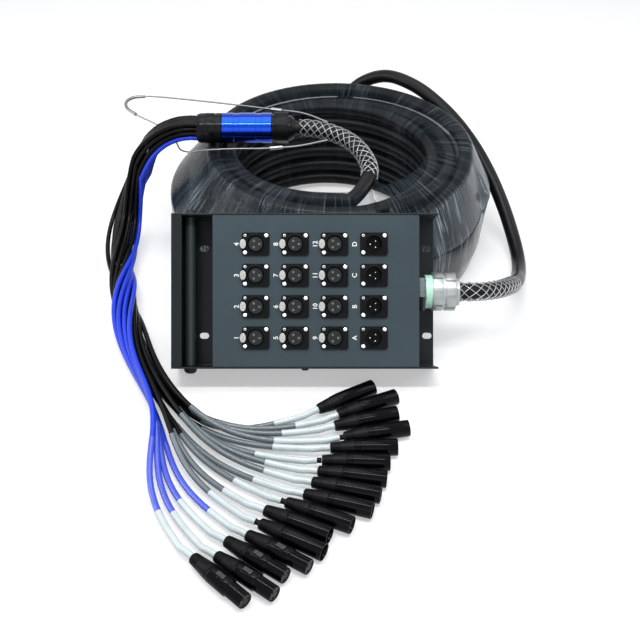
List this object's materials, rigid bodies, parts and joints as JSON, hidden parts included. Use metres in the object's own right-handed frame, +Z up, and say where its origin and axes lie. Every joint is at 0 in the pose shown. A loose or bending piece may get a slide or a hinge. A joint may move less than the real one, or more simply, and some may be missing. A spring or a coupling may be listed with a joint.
{
  "type": "stage box snake",
  "caption": "Stage box with a panel of sockets, a coiled multicore trunk, a splitter with a pulling eye and a fan of tails ending in cable plugs.",
  "frame": {"origin": "on the floor under the middle of the leaning stage box, at the bottom centre of its box", "axes": "+X along the box towards its cable gland, +Y back towards the coil it leans on, +Z up"},
  "size_m": [0.5617, 0.8314, 0.1887],
  "materials": {
    "chassis_black": "satin",
    "panel_grey": "satin",
    "socket_black": "satin",
    "latch_silver": "satin",
    "gland_nickel": "gloss",
    "gland_black": "satin",
    "cable_black": "satin",
    "anodised_blue": "gloss",
    "wire_steel": "gloss",
    "plug_black": "gloss"
  },
  "bodies": {
    "snake": {"chassis": "chassis_black", "front_panel": "panel_grey", "handle_bar": "chassis_black", "box_gland": "gland_nickel", "trunk_box_lead": "cable_black", "trunk_coil": "cable_black", "trunk_fan_lead": "cable_black", "splitter_barrel": "anodised_blue", "splitter_outlet_gland": "gland_black", "splitter_inlet_gland": "gland_black", "pulling_bail": "wire_steel", "tail_loom": "cable_black", "input_socket_01": "socket_black", "input_plug_01": "plug_black", "input_socket_02": "socket_black", "input_plug_02": "plug_black", "input_socket_03": "socket_black", "input_plug_03": "plug_black", "input_socket_04": "socket_black", "input_plug_04": "plug_black", "input_socket_05": "socket_black", "input_plug_05": "plug_black", "input_socket_06": "socket_black", "input_plug_06": "plug_black", "input_socket_07": "socket_black", "input_plug_07": "plug_black", "input_socket_08": "socket_black", "input_plug_08": "plug_black", "input_socket_09": "socket_black", "input_plug_09": "plug_black", "input_socket_10": "socket_black", "input_plug_10": "plug_black", "input_socket_11": "socket_black", "input_plug_11": "plug_black", "input_socket_12": "socket_black", "input_plug_12": "plug_black", "return_socket_a": "socket_black", "return_plug_a": "plug_black", "return_socket_b": "socket_black", "return_plug_b": "plug_black", "return_socket_c": "socket_black", "return_plug_c": "plug_black", "return_socket_d": "socket_black", "return_plug_d": "plug_black"},
    "latch_01": {"input_latch_01": "latch_silver"},
    "latch_02": {"input_latch_02": "latch_silver"},
    "latch_03": {"input_latch_03": "latch_silver"},
    "latch_04": {"input_latch_04": "latch_silver"},
    "latch_05": {"input_latch_05": "latch_silver"},
    "latch_06": {"input_latch_06": "latch_silver"},
    "latch_07": {"input_latch_07": "latch_silver"},
    "latch_08": {"input_latch_08": "latch_silver"},
    "latch_09": {"input_latch_09": "latch_silver"},
    "latch_10": {"input_latch_10": "latch_silver"},
    "latch_11": {"input_latch_11": "latch_silver"},
    "latch_12": {"input_latch_12": "latch_silver"},
    "plug_a_button": {"return_plug_latch_a": "latch_silver"},
    "plug_b_button": {"return_plug_latch_b": "latch_silver"},
    "plug_c_button": {"return_plug_latch_c": "latch_silver"},
    "plug_d_button": {"return_plug_latch_d": "latch_silver"}
  },
  "joints": [
    {"name": "latch_01_press", "type": "slide", "parent": "snake", "child": "latch_01", "axis": [0, 0.7771, -0.6293], "range_m": [0, 0.0015], "stiffness_N_per_m": 300},
    {"name": "latch_02_press", "type": "slide", "parent": "snake", "child": "latch_02", "axis": [0, 0.7771, -0.6293], "range_m": [0, 0.0015], "stiffness_N_per_m": 300},
    {"name": "latch_03_press", "type": "slide", "parent": "snake", "child": "latch_03", "axis": [0, 0.7771, -0.6293], "range_m": [0, 0.0015], "stiffness_N_per_m": 300},
    {"name": "latch_04_press", "type": "slide", "parent": "snake", "child": "latch_04", "axis": [0, 0.7771, -0.6293], "range_m": [0, 0.0015], "stiffness_N_per_m": 300},
    {"name": "latch_05_press", "type": "slide", "parent": "snake", "child": "latch_05", "axis": [0, 0.7771, -0.6293], "range_m": [0, 0.0015], "stiffness_N_per_m": 300},
    {"name": "latch_06_press", "type": "slide", "parent": "snake", "child": "latch_06", "axis": [0, 0.7771, -0.6293], "range_m": [0, 0.0015], "stiffness_N_per_m": 300},
    {"name": "latch_07_press", "type": "slide", "parent": "snake", "child": "latch_07", "axis": [0, 0.7771, -0.6293], "range_m": [0, 0.0015], "stiffness_N_per_m": 300},
    {"name": "latch_08_press", "type": "slide", "parent": "snake", "child": "latch_08", "axis": [0, 0.7771, -0.6293], "range_m": [0, 0.0015], "stiffness_N_per_m": 300},
    {"name": "latch_09_press", "type": "slide", "parent": "snake", "child": "latch_09", "axis": [0, 0.7771, -0.6293], "range_m": [0, 0.0015], "stiffness_N_per_m": 300},
    {"name": "latch_10_press", "type": "slide", "parent": "snake", "child": "latch_10", "axis": [0, 0.7771, -0.6293], "range_m": [0, 0.0015], "stiffness_N_per_m": 300},
    {"name": "latch_11_press", "type": "slide", "parent": "snake", "child": "latch_11", "axis": [0, 0.7771, -0.6293], "range_m": [0, 0.0015], "stiffness_N_per_m": 300},
    {"name": "latch_12_press", "type": "slide", "parent": "snake", "child": "latch_12", "axis": [0, 0.7771, -0.6293], "range_m": [0, 0.0015], "stiffness_N_per_m": 300},
    {"name": "plug_a_button_press", "type": "slide", "parent": "snake", "child": "plug_a_button", "axis": [0, 0, -1], "range_m": [0, 0.0012], "stiffness_N_per_m": 300},
    {"name": "plug_b_button_press", "type": "slide", "parent": "snake", "child": "plug_b_button", "axis": [0, 0, -1], "range_m": [0, 0.0012], "stiffness_N_per_m": 300},
    {"name": "plug_c_button_press", "type": "slide", "parent": "snake", "child": "plug_c_button", "axis": [0, 0, -1], "range_m": [0, 0.0012], "stiffness_N_per_m": 300},
    {"name": "plug_d_button_press", "type": "slide", "parent": "snake", "child": "plug_d_button", "axis": [0, 0, -1], "range_m": [0, 0.0012], "stiffness_N_per_m": 300}
  ]
}
